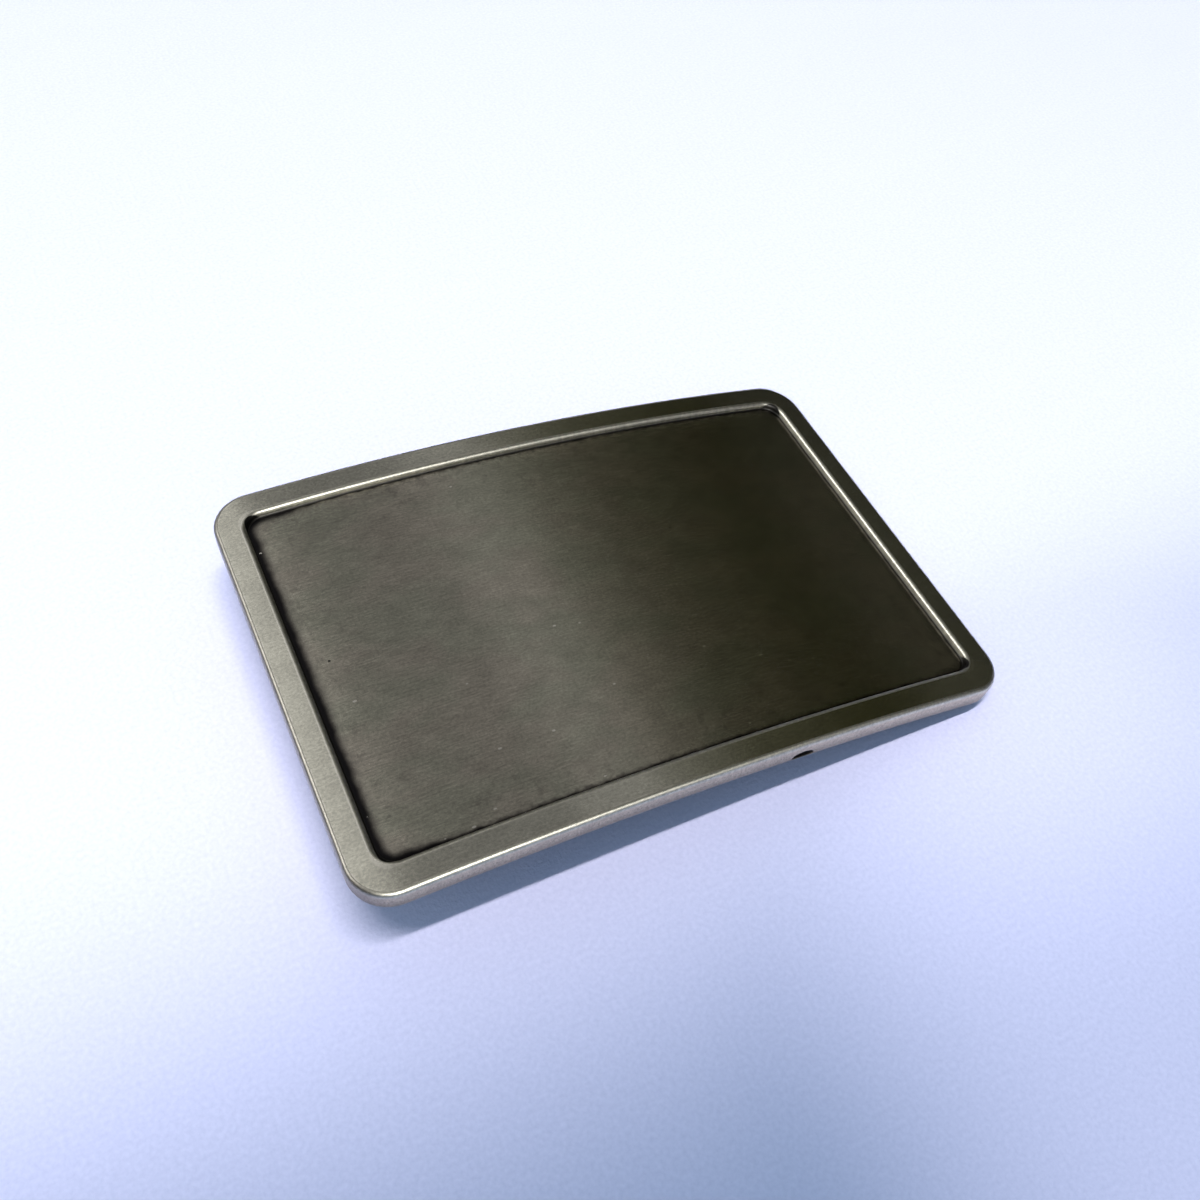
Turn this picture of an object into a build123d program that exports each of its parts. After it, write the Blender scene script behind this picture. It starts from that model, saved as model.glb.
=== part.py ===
from build123d import *
import os
from math import acos, asin, cos, degrees, radians, sin

# A plate belt buckle for a 38 mm belt, lying on a table on its back hardware.
# The face is arched along its length. Row frame: Z = 0 is the table, X runs along the
# buckle towards the bail end, Y runs across it, and the origin is under its middle.

# ---- face plate ----
face_length = 90.0  # along the arched face
face_width = 60.4
plate_thickness = 3.0
arch_radius = 355.0  # of the front face
corner_radius = 5.2
top_edge_radius = 0.6
bottom_edge_radius = 0.25

border_width = 3.3  # flat raised border round the front panel
recess_depth = 0.9
recess_edge_radius = 0.6  # rounding of the border's inner edge
recess_corner_radius = 2.4

rim_width = 3.2  # full-thickness rim round the hollowed back
back_relief_depth = 0.6
back_corner_radius = 2.6

nick_along = 11.5  # casting gate nick in the front long side
nick_length = 3.2
nick_height = 1.0
nick_depth = 0.35
nick_below_face = 2.65  # depth of its straight lower edge

# ---- resting attitude ----
rest_tilt = 5.9  # degrees, the hook end up

# ---- bail and its two hinge lugs ----
hinge_along = 27.0
hinge_drop = 2.9  # hinge axis below the hollowed back
wire_radius = 1.5
pin_clearance = 0.05
lug_radius = 2.45
lug_foot_half = 4.0
lug_inner_y = 15.5
lug_thickness = 3.0
lug_edge_radius = 0.25
leg_length = 15.0  # hinge axis to bar axis
bail_half_width = 21.5  # to the axis of a leg: 40 mm clear inside
wire_end_y = 14.9
hinge_bend_radius = 2.5
bar_bend_radius = 4.5
wire_end_rounding = 0.4

# ---- hook ----
hook_along = -33.0
hook_radius = 2.1
hook_lean = 5.0  # degrees, the tip towards the bail
neck_radius = 1.8  # turned groove between the post and its pad
neck_length = 0.25
shank_radius = 1.4  # the end riveted into the pad
pad_radius = 5.0
pad_thickness = 1.5
pad_edge_chamfer = 0.5

# ---- worked out ----
back_depth = plate_thickness - back_relief_depth
tool_overrun = 4.0  # how far cutting solids stand past what they cut
tilt = radians(rest_tilt)


def on_arch(along, depth):
    """Section coordinates of a point below the front face, at a distance along it."""
    radius = arch_radius - depth
    angle = along / arch_radius
    return (radius * sin(angle), radius * cos(angle) - arch_radius)


hinge_x, hinge_z = on_arch(hinge_along, back_depth + hinge_drop)

# The lugs' round ends stand on the table, which sets the height of the face.
face_height = lug_radius + sin(tilt) * hinge_x - cos(tilt) * hinge_z
left_x, left_z = on_arch(-face_length / 2, 0)
right_x, right_z = on_arch(face_length / 2, 0)
centring_shift = -(cos(tilt) * (left_x + right_x) + sin(tilt) * (left_z + right_z)) / 2

face_x_dir = (cos(tilt), 0, -sin(tilt))
face_origin = (centring_shift, 0, face_height)

# Lengthwise section of the buckle: local X along the face, local Y out of it.
section_plane = Plane(origin=face_origin, x_dir=face_x_dir, z_dir=(0, -1, 0))


def row_point(along, depth):
    """A point of the middle section in the row frame."""
    return section_plane.from_local_coords(Vector(*on_arch(along, depth)))


hinge_point = row_point(hinge_along, back_depth + hinge_drop)
hook_point = row_point(hook_along, back_depth)

hook_angle = hook_along / arch_radius + tilt - radians(hook_lean)
hook_direction = Vector(-sin(hook_angle), 0, -cos(hook_angle))
tip_distance = (hook_point.Z - hook_radius) / -hook_direction.Z
hook_tip_center = hook_point + hook_direction * tip_distance

bail_droop = asin((lug_radius - wire_radius) / leg_length)
bail_leg_dir = (-cos(bail_droop), 0, -sin(bail_droop))
bail_normal = (sin(bail_droop), 0, -cos(bail_droop))


def arched_section(half_length, upper_depth, lower_depth):
    """Draw the outline between two depths below the front face, inside BuildLine."""
    ThreePointArc(
        on_arch(-half_length, upper_depth), on_arch(0, upper_depth), on_arch(half_length, upper_depth)
    )
    Line(on_arch(half_length, upper_depth), on_arch(half_length, lower_depth))
    ThreePointArc(
        on_arch(half_length, lower_depth), on_arch(0, lower_depth), on_arch(-half_length, lower_depth)
    )
    Line(on_arch(-half_length, lower_depth), on_arch(-half_length, upper_depth))


# ---- cutting solid: the front recess ----
recess_inset = border_width + recess_edge_radius
with BuildPart() as recess_tool:
    with BuildSketch(section_plane):
        with BuildLine():
            arched_section(face_length / 2 - recess_inset, -tool_overrun, recess_depth)
        make_face()
    extrude(amount=face_width / 2 - recess_inset, both=True)
    recess_corners = recess_tool.edges().filter_by(GeomType.LINE).sort_by(SortBy.LENGTH)[:4]
    fillet(recess_corners, recess_corner_radius)

# ---- cutting solid: the hollow of the back ----
with BuildPart() as back_tool:
    with BuildSketch(section_plane):
        with BuildLine():
            arched_section(face_length / 2 - rim_width, back_depth, back_depth + tool_overrun)
        make_face()
    extrude(amount=face_width / 2 - rim_width, both=True)
    back_corners = back_tool.edges().filter_by(GeomType.LINE).sort_by(SortBy.LENGTH)[:4]
    fillet(back_corners, back_corner_radius)

# ---- cutting solid: everything above the hollowed back, to fit feet to it ----
with BuildPart() as above_back_tool:
    with BuildSketch(section_plane):
        with BuildLine():
            arched_section(face_length / 2, -tool_overrun, back_depth)
        make_face()
    extrude(amount=face_width / 2, both=True)

# ---- face plate: arched casting with a raised border and a hollow back ----
with BuildPart() as face_plate:
    with BuildSketch(section_plane):
        with BuildLine():
            arched_section(face_length / 2, 0, plate_thickness)
        make_face()
    extrude(amount=face_width / 2, both=True)
    plate_corners = face_plate.edges().filter_by(GeomType.LINE).sort_by(SortBy.LENGTH)[:4]
    fillet(plate_corners, corner_radius)

    broad_faces = face_plate.faces().sort_by(SortBy.AREA)[-2:]
    fillet(broad_faces.sort_by(Axis.Z)[-1].outer_wire().edges(), top_edge_radius)
    broad_faces = face_plate.faces().sort_by(SortBy.AREA)[-2:]
    fillet(broad_faces.sort_by(Axis.Z)[0].outer_wire().edges(), bottom_edge_radius)

    add(recess_tool.part, mode=Mode.SUBTRACT)
    add(back_tool.part, mode=Mode.SUBTRACT)
    ring_faces = face_plate.faces().filter_by(lambda face: len(face.inner_wires()) == 1)
    border_face = ring_faces.sort_by(Axis.Z)[-1]
    fillet(border_face.inner_wires()[0].edges(), recess_edge_radius)

    with BuildSketch(section_plane.offset(face_width / 2)):
        with BuildLine():
            nick_left = on_arch(nick_along - nick_length / 2, nick_below_face)
            nick_right = on_arch(nick_along + nick_length / 2, nick_below_face)
            nick_top = on_arch(nick_along, nick_below_face - nick_height)
            ThreePointArc(nick_left, nick_top, nick_right)
            Line(nick_right, nick_left)
        make_face()
    extrude(amount=-nick_depth, mode=Mode.SUBTRACT)

# ---- hinge lugs: the two ears that carry the bail, brazed to the back ----
hinge_center = Vector(hinge_x, hinge_z)
foot_left = Vector(*on_arch(hinge_along - lug_foot_half, back_depth))
foot_right = Vector(*on_arch(hinge_along + lug_foot_half, back_depth))


def tangent_point(corner, turn):
    """Where a line from a foot corner touches the lug's round end; turn is +1 or -1."""
    to_corner = corner - hinge_center
    swing = degrees(acos(lug_radius / to_corner.length))
    return hinge_center + to_corner.normalized().rotate(Axis.Z, turn * swing) * lug_radius


with BuildPart() as hinge_lug_front:
    with BuildSketch(section_plane.offset(lug_inner_y)):
        with BuildLine():
            ThreePointArc(foot_left, on_arch(hinge_along, back_depth), foot_right)
            Line(foot_right, tangent_point(foot_right, -1))
            ThreePointArc(
                tangent_point(foot_right, -1),
                hinge_center - Vector(0, lug_radius),
                tangent_point(foot_left, 1),
            )
            Line(tangent_point(foot_left, 1), foot_left)
        make_face()
        with Locations(hinge_center):
            Circle(wire_radius + pin_clearance, mode=Mode.SUBTRACT)
    extrude(amount=lug_thickness)
    lug_sides = hinge_lug_front.faces().filter_by(Axis.Y)
    for side_face in lug_sides:
        lug_rim = side_face.outer_wire().edges().sort_by(Axis.Z)[:-1]
        fillet(lug_rim, lug_edge_radius)

with BuildPart() as hinge_lug_back:
    mirror(hinge_lug_front.part, about=Plane.XZ)

# ---- wire bail: the belt loop, its two ends turned in through the lugs ----
bail_plane = Plane(origin=hinge_point, x_dir=bail_leg_dir, z_dir=bail_normal)
with BuildPart() as wire_bail:
    with BuildLine(bail_plane) as bail_path:
        FilletPolyline(
            (0, -wire_end_y),
            (0, -bail_half_width),
            (leg_length, -bail_half_width),
            (leg_length, bail_half_width),
            (0, bail_half_width),
            (0, wire_end_y),
            radius=[hinge_bend_radius, bar_bend_radius, bar_bend_radius, hinge_bend_radius],
        )
    with BuildSketch(Plane(origin=bail_path.line @ 0, z_dir=bail_path.line % 0)):
        Circle(wire_radius)
    sweep(path=bail_path.line)
    wire_ends = wire_bail.faces().filter_by(GeomType.PLANE).edges()
    fillet(wire_ends, wire_end_rounding)

# ---- hook: a leaning post riveted into a round pad that is brazed to the back ----
post_plane = Plane(origin=hook_point, x_dir=(0, 1, 0), z_dir=hook_direction)

with BuildPart() as hook_pad:
    with BuildSketch(post_plane.offset(-plate_thickness / 2)):
        Circle(pad_radius)
        Circle(shank_radius, mode=Mode.SUBTRACT)
    extrude(amount=plate_thickness / 2 + pad_thickness)
    pad_rim = hook_pad.edges().filter_by(
        lambda edge: edge.geom_type == GeomType.CIRCLE and edge.radius > shank_radius
    )
    chamfer(pad_rim.sort_by(Axis.Z)[0], pad_edge_chamfer)
    add(above_back_tool.part, mode=Mode.SUBTRACT)

with BuildPart() as hook_post:
    with BuildSketch(post_plane.offset(-plate_thickness / 2)):
        Circle(shank_radius)
    extrude(amount=plate_thickness / 2 + pad_thickness)
    with BuildSketch(post_plane.offset(pad_thickness)):
        Circle(neck_radius)
    extrude(amount=neck_length)
    with BuildSketch(post_plane.offset(pad_thickness + neck_length)):
        Circle(hook_radius)
    extrude(amount=tip_distance - pad_thickness - neck_length)
    with Locations(hook_tip_center):
        Sphere(hook_radius)
    add(above_back_tool.part, mode=Mode.SUBTRACT)

# ---- written out, one file per piece ----
face_plate.part.label = "face_plate"
hinge_lug_front.part.label = "hinge_lug_front"
hinge_lug_back.part.label = "hinge_lug_back"
wire_bail.part.label = "wire_bail"
hook_pad.part.label = "hook_pad"
hook_post.part.label = "hook_post"

os.makedirs("parts", exist_ok=True)
export_step(face_plate.part, "parts/face_plate.step")
export_step(hinge_lug_front.part, "parts/hinge_lug_front.step")
export_step(hinge_lug_back.part, "parts/hinge_lug_back.step")
export_step(wire_bail.part, "parts/wire_bail.step")
export_step(hook_pad.part, "parts/hook_pad.step")
export_step(hook_post.part, "parts/hook_post.step")
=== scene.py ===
"""Looks for the plate belt buckle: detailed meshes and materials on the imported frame."""

from math import atan2, cos, pi, radians, sin

import bpy
import numpy as np
from mathutils import Matrix, Vector, noise


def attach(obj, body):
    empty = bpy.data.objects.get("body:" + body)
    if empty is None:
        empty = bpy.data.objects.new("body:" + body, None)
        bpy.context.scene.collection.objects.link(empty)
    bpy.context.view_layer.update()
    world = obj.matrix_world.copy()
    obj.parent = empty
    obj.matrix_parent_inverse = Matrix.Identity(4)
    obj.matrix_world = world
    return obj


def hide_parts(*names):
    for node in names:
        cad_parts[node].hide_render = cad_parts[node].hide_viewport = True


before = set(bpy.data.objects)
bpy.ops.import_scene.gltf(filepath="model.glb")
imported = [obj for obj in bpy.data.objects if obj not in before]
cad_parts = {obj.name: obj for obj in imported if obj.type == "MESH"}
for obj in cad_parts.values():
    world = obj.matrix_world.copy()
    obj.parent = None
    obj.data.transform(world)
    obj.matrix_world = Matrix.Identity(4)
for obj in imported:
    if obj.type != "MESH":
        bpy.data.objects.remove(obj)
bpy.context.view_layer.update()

MM = 0.001

# ---- face plate, mm, as in the CAD model ----
FACE_LENGTH = 90.0
FACE_WIDTH = 60.4
THICKNESS = 3.0
ARCH_RADIUS = 355.0
REST_TILT = radians(5.9)
CORNER_RADIUS = 5.2
TOP_EDGE = 0.6
LOWER_EDGE = 0.25
BORDER = 3.3
RECESS_DEPTH = 0.9
RECESS_EDGE = 0.6
RECESS_CORNER = 3.0
RECESS_ROOT = 0.25
RIM = 3.2
BACK_RELIEF = 0.6
BACK_CORNER = 2.6
BACK_ROOT = 0.2
BACK_DEPTH = THICKNESS - BACK_RELIEF
NICK_ALONG = 11.5
NICK_LENGTH = 3.2
NICK_HEIGHT = 1.0
NICK_DEPTH = 0.35
NICK_FOOT = 2.65

# ---- hinge lugs, bail and hook, mm, as in the CAD model ----
HINGE_ALONG = 27.0
HINGE_DROP = 2.9
PIN_HOLE = 1.55
LUG_RADIUS = 2.45
LUG_FOOT_HALF = 4.0
LUG_INNER_Y = 15.5
LUG_THICKNESS = 3.0
LUG_EDGE = 0.3
WIRE_RADIUS = 1.5
WIRE_END_ROUND = 0.4
WIRE_END_Y = 14.9
LEG_LENGTH = 15.0
BAIL_HALF_WIDTH = 21.5
HINGE_BEND = 2.5
BAR_BEND = 4.5
BAR_HEIGHT = 1.5
HOOK_ALONG = -33.0
HOOK_RADIUS = 2.1
HOOK_LEAN = radians(5.0)
NECK_RADIUS = 1.8
NECK_LENGTH = 0.25
SHANK_RADIUS = 1.4
PAD_RADIUS = 5.0
PAD_THICKNESS = 1.5
PAD_EDGE = 0.5

# ---- mesh density, mm or counts ----
GRID_STEP = 1.5
NICK_STEP = 0.16
CORNER_STEPS = 10
ROUND_STEPS = 64
WIRE_STEPS = 32
LUG_STEPS = 96
PAD_BRAZE_STEPS = 90

# ---- wear and unevenness of the surfaces, mm ----
BORDER_SINK = 0.006  # the hand-finished border lies this much below the CAD's face
SLOW_WEAR = 0.018
QUICK_WEAR = 0.007
WIRE_WEAR = 0.004
POST_RIDGE = 0.004
TURNING_MARK = 0.012
PIN_CHAMFER = 0.1
PAD_BURIED = 0.5  # the pad's side goes this far into the plate
POST_BURIED = 0.4  # the shank goes this far into the pad
BRAZE_WIDTH = 0.62
BRAZE_HEIGHT = 0.50
BRAZE_UNDER = 0.12  # the fillet starts this far inside the foot's outline
BRAZE_SUNK = 0.05  # and this far into the plate

HAIR = 0.01  # slack when telling which surface a point is on, mm

# ---- middle of the arched face in the row frame, mm, as in the CAD model ----
FACE_X = 0.2928
FACE_Z = 11.4588


def on_face(along, across, depth):
    """Row-frame point, in metres, at a place on the arched face and a depth below it."""
    radius = ARCH_RADIUS - depth
    x = radius * sin(along / ARCH_RADIUS)
    z = radius * cos(along / ARCH_RADIUS) - ARCH_RADIUS
    row_x = FACE_X + cos(REST_TILT) * x + sin(REST_TILT) * z
    row_z = FACE_Z - sin(REST_TILT) * x + cos(REST_TILT) * z
    return Vector((row_x, across, row_z)) * MM


# ---------------------------------------------------------------- mesh helpers


def weighted_normals(vertices, faces):
    """Area-weighted vertex normals, which keep broad flats flat next to small rounds."""
    points = np.array([tuple(v) for v in vertices])
    normals = np.zeros_like(points)
    for corners in faces:
        first = points[corners[0]]
        total = np.zeros(3)
        for second, third in zip(corners[1:-1], corners[2:]):
            total += np.cross(points[second] - first, points[third] - first)
        weight = np.linalg.norm(total)
        for corner in corners:
            normals[corner] += total * weight
    lengths = np.linalg.norm(normals, axis=1, keepdims=True)
    return normals / np.maximum(lengths, 1e-30)


def faces_outward(vertices, faces):
    """True if a closed skin's faces point out of it, which its signed volume tells."""
    volume = 0.0
    for corners in faces:
        first = vertices[corners[0]]
        for second, third in zip(corners[1:-1], corners[2:]):
            volume += first.dot(vertices[second].cross(vertices[third]))
    return volume > 0


def new_object(name, vertices, faces, point_uv=None, loop_uv=None):
    """A smooth mesh object with its faces turned outward, and one UV pair a point or a corner."""
    if not faces_outward(vertices, faces):
        faces = [tuple(reversed(corners)) for corners in faces]
        if loop_uv:
            sizes = [len(corners) for corners in faces]
            ends = np.cumsum(sizes)
            loop_uv = [
                loop_uv[n]
                for end, size in zip(ends, sizes)
                for n in range(end - 1, end - size - 1, -1)
            ]
    mesh = bpy.data.meshes.new(name)
    mesh.from_pydata(vertices, [], faces)
    mesh.polygons.foreach_set("use_smooth", [True] * len(faces))
    if point_uv or loop_uv:
        layer = mesh.uv_layers.new(name="face" if point_uv else "skin")
        for loop in mesh.loops:
            layer.data[loop.index].uv = (
                point_uv[loop.vertex_index] if point_uv else loop_uv[loop.index]
            )
    mesh.normals_split_custom_set_from_vertices(weighted_normals(vertices, faces))
    made = bpy.data.objects.new(name, mesh)
    bpy.context.scene.collection.objects.link(made)
    return made


def place(made, body, materials, node=None):
    """Puts a piece on its body, in place of a CAD node if one is named."""
    if node:
        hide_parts(node)
    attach(made, body)
    for material in materials:
        made.data.materials.append(material)


def circle(centre, first, second, radius, count):
    """Ring of points about a centre, in metres; centre and radius in mm."""
    angles = [2 * pi * k / count for k in range(count)]
    return [(centre + (first * cos(a) + second * sin(a)) * radius) * MM for a in angles]


def lofted(name, rings, cap_ends=True):
    """A skin over rings of equal point count, with UVs in mm along and round it.

    Without caps, the last ring joins the first, as in a piece with a hole through it.
    """
    count = len(rings[0])
    faces, uvs = [], []
    along = 0.0
    for r in range(len(rings) - 1 if cap_ends else len(rings)):
        after = (r + 1) % len(rings)
        step = max((b - a).length for a, b in zip(rings[r], rings[after])) / MM
        pitch = sum((b - a).length for a, b in zip(rings[r], rings[r][1:])) / MM / (count - 1)
        for k in range(count):
            n = (k + 1) % count
            here, there = r * count, after * count
            faces.append((here + k, here + n, there + n, there + k))
            uvs += [(along, k * pitch), (along, (k + 1) * pitch)]
            uvs += [(along + step, (k + 1) * pitch), (along + step, k * pitch)]
        along += step
    if cap_ends:
        last = (len(rings) - 1) * count
        faces.append(tuple(reversed(range(count))))
        faces.append(tuple(range(last, last + count)))
        uvs += [(0.1 * k, 0.0) for k in range(2 * count)]
    return new_object(name, [p for ring_points in rings for p in ring_points], faces, loop_uv=uvs)


def revolved(name, origin, axis, profile):
    """A turned piece: profile lists (distance along the axis, radius) in mm."""
    first = Vector((0, 1, 0))
    second = axis.cross(first).normalized()
    rings = [circle(origin + axis * s, first, second, r, ROUND_STEPS) for s, r in profile]
    return lofted(name, rings)


def quarter(start, end, steps, level_first):
    """Quarter round between two profile points, ends included."""
    points = []
    for k in range(steps + 1):
        a = pi / 2 * k / steps
        level, steep = (sin(a), 1 - cos(a)) if level_first else (1 - cos(a), sin(a))
        points.append(
            (start[0] + (end[0] - start[0]) * level, start[1] + (end[1] - start[1]) * steep)
        )
    return points


def between(start, end, steps):
    """Evenly spaced values between two others, which are left out."""
    return [start + (end - start) * k / steps for k in range(1, steps)]


# ---------------------------------------------------------------- face plate mesh

PANEL_INSET = BORDER + RECESS_EDGE + RECESS_ROOT
PANEL_CORNER = RECESS_CORNER - RECESS_EDGE - RECESS_ROOT


def side_shares(half, fine_at=None):
    """Stations along a straight side as shares of its half length, finer near fine_at."""
    count = round(2 * half / GRID_STEP)
    stations = [-half + 2 * half * i / count for i in range(count + 1)]
    if fine_at is not None:
        reach = NICK_LENGTH / 2 + 4 * NICK_STEP
        fine_count = round(2 * reach / NICK_STEP)
        stations = [s for s in stations if abs(s - fine_at) > reach + NICK_STEP]
        stations += [fine_at - reach + 2 * reach * i / fine_count for i in range(fine_count + 1)]
    return [s / half for s in sorted(stations)]


U_SHARES = side_shares(FACE_LENGTH / 2 - PANEL_INSET - PANEL_CORNER, NICK_ALONG)
V_SHARES = side_shares(FACE_WIDTH / 2 - PANEL_INSET - PANEL_CORNER)


def outline_ring(inset, corner):
    """Points round a rounded rectangle, as (along, across), anticlockwise from above."""
    half_u = FACE_LENGTH / 2 - inset
    half_v = FACE_WIDTH / 2 - inset
    core_u = half_u - corner
    core_v = half_v - corner
    arc = [pi / 2 * k / CORNER_STEPS for k in range(1, CORNER_STEPS)]
    points = [(core_u * s, -half_v) for s in U_SHARES]
    points += [(core_u + corner * sin(a), -core_v - corner * cos(a)) for a in arc]
    points += [(half_u, core_v * s) for s in V_SHARES]
    points += [(core_u + corner * cos(a), core_v + corner * sin(a)) for a in arc]
    points += [(core_u * s, half_v) for s in reversed(U_SHARES)]
    points += [(-core_u - corner * sin(a), core_v + corner * cos(a)) for a in arc]
    points += [(-half_u, core_v * s) for s in reversed(V_SHARES)]
    points += [(-core_u - corner * cos(a), -core_v - corner * sin(a)) for a in arc]
    return points


def grid_lines(shares, half, corner):
    """Grid lines across a rounded rectangle: one through every point of its ring."""
    core = half - corner
    arc = [corner * cos(pi / 2 * k / CORNER_STEPS) for k in range(CORNER_STEPS)]
    return [-core - a for a in arc] + [core * s for s in shares] + [core + a for a in arc[::-1]]


def recess_corner(inset):
    """Corner radius in the recess, at an inset from the plate's outline."""
    return RECESS_CORNER - (inset - BORDER)


def border_corner(inset):
    """Corner radius on the border, which eases from the outer corner to the recess's."""
    outer = CORNER_RADIUS - TOP_EDGE
    return outer + (RECESS_CORNER - outer) * (inset - TOP_EDGE) / (BORDER - TOP_EDGE)


def outer_corner(inset):
    """Corner radius on the side and the rounds above and below it."""
    return CORNER_RADIUS - inset


def back_corner(inset):
    """Corner radius on the back, which eases from the outer corner to the hollow's."""
    if inset >= RIM:
        return BACK_CORNER - (inset - RIM)
    outer = CORNER_RADIUS - LOWER_EDGE
    return outer + (BACK_CORNER - outer) * (inset - LOWER_EDGE) / (RIM - LOWER_EDGE)


def plate_profile():
    """Rings from the panel's edge, over the border and side, to the hollow back.

    Each is (inset, depth, corner radius, surface), with the surface outside it.
    """
    wall = BORDER + RECESS_EDGE
    back_wall = RIM + BACK_ROOT
    rings = []

    def extend(points, corner_at, surface):
        rings.extend((e, d, corner_at(e), surface) for e, d in points)

    front_root = quarter((PANEL_INSET, RECESS_DEPTH), (wall, RECESS_DEPTH - RECESS_ROOT), 4, True)
    extend(front_root, recess_corner, "wall")
    extend(quarter((wall, RECESS_EDGE), (BORDER, 0.0), 9, False), recess_corner, "wall")
    rings[-1] = rings[-1][:3] + ("border",)
    border_insets = [3.1, 2.6, 1.9, 1.25, 0.9, 0.7]  # closer together at both of its rounds
    extend([(e, 0.0) for e in border_insets], border_corner, "border")
    extend(quarter((TOP_EDGE, 0.0), (0.0, TOP_EDGE), 9, True), outer_corner, "side")
    side_depths = between(TOP_EDGE, THICKNESS - LOWER_EDGE, 20)
    extend([(0.0, d) for d in side_depths], outer_corner, "side")
    lower_start = (0.0, THICKNESS - LOWER_EDGE)
    extend(quarter(lower_start, (LOWER_EDGE, THICKNESS), 4, False), outer_corner, "side")
    rings[-1] = rings[-1][:3] + ("back",)
    back_insets = [0.35, 1.0, 2.0, 2.8]
    extend([(e, THICKNESS) for e in back_insets], back_corner, "back")
    extend(quarter((RIM - 0.1, THICKNESS), (RIM, THICKNESS - 0.1), 3, True), back_corner, "back")
    back_root = quarter((RIM, BACK_DEPTH + BACK_ROOT), (back_wall, BACK_DEPTH), 3, False)
    extend(back_root, back_corner, "back")
    return rings


def nick_inset(along, depth):
    """How far the gate nick is scooped into the front side here."""
    if depth > NICK_FOOT:
        return 0.0
    reach_along = (along - NICK_ALONG) / (NICK_LENGTH / 2)
    reach_up = (NICK_FOOT - depth) / NICK_HEIGHT
    reach = reach_along**2 + reach_up**2
    return NICK_DEPTH * (1 - reach) ** 0.35 if reach < 1 else 0.0


def wear(u, v, d):
    """Slight inward unevenness of the rubbed outer edge and the hand-finished border."""
    slow = 0.5 + 0.5 * noise.noise(Vector((u * 0.16, v * 0.16, d * 0.3)))
    quick = 0.5 + 0.5 * noise.noise(Vector((u * 0.55 + 9, v * 0.55, d * 0.9)))
    return SLOW_WEAR * slow + QUICK_WEAR * quick


SURFACES = ["panel", "wall", "border", "side", "back"]


def build_plate():
    """The plate as one closed mesh, with its depth, hollow and UV stored for the materials."""
    vertices, face_uv, depths, hollows, faces, surfaces = [], [], [], [], [], []

    def add_vertex(u, v, d, inset):
        scooped = 0.0
        if inset < BORDER + HAIR and d < THICKNESS - HAIR:
            worn = wear(u, v, d)
            outward = max(0.0, 1 - inset / TOP_EDGE)
            shrink = 1 - worn * outward / (FACE_WIDTH / 2)
            deeper = BORDER_SINK + worn * (1 - outward) if d < TOP_EDGE else 0.0
            scooped = nick_inset(u, d) if v < HAIR - FACE_WIDTH / 2 else 0.0
            vertices.append(on_face(u * shrink, v * shrink + scooped, d + deeper))
        else:
            vertices.append(on_face(u, v, d))
        face_uv.append((u, v))
        depths.append(d)
        hollows.append(scooped / NICK_DEPTH)
        return len(vertices) - 1

    def add_face(corners, surface):
        faces.append(corners)
        surfaces.append(SURFACES.index(surface))

    def fill(inset, depth, corner, ring_indices, surface, upward):
        """A grid across the inside of a ring, sharing the ring's own vertices."""
        points = outline_ring(inset, corner)
        known = {(round(u, 4), round(v, 4)): i for (u, v), i in zip(points, ring_indices)}
        half_u = FACE_LENGTH / 2 - inset
        half_v = FACE_WIDTH / 2 - inset
        lines_u = grid_lines(U_SHARES, half_u, corner)
        lines_v = grid_lines(V_SHARES, half_v, corner)
        table = {}
        for i, u in enumerate(lines_u):
            for j, v in enumerate(lines_v):
                over_u = max(0.0, abs(u) - (half_u - corner))
                over_v = max(0.0, abs(v) - (half_v - corner))
                if over_u**2 + over_v**2 > (corner + 0.0005) ** 2:
                    continue
                key = (round(u, 4), round(v, 4))
                table[i, j] = known[key] if key in known else add_vertex(u, v, depth, inset)
        for i in range(len(lines_u) - 1):
            for j in range(len(lines_v) - 1):
                square = [(i, j), (i + 1, j), (i + 1, j + 1), (i, j + 1)]
                corners = [table[c] for c in square if c in table]
                if len(corners) >= 3:
                    add_face(corners if upward else corners[::-1], surface)

    profile = plate_profile()
    loops = []
    for inset, depth, corner, surface in profile:
        points = outline_ring(inset, corner)
        loops.append([add_vertex(u, v, depth, inset) for u, v in points])
    for inner, outer, ring_data in zip(loops, loops[1:], profile):
        for k in range(len(inner)):
            n = (k + 1) % len(inner)
            add_face([inner[k], outer[k], outer[n], inner[n]], ring_data[3])
    fill(*profile[0][:3], loops[0], "panel", True)
    fill(*profile[-1][:3], loops[-1], "back", False)

    made = new_object("face_plate_detailed", vertices, faces, point_uv=face_uv)
    made.data.polygons.foreach_set("material_index", surfaces)
    made.data.attributes.new("depth", "FLOAT", "POINT").data.foreach_set("value", depths)
    made.data.attributes.new("hollow", "FLOAT", "POINT").data.foreach_set("value", hollows)
    return made


# ---------------------------------------------------------------- parts on the back


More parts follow.
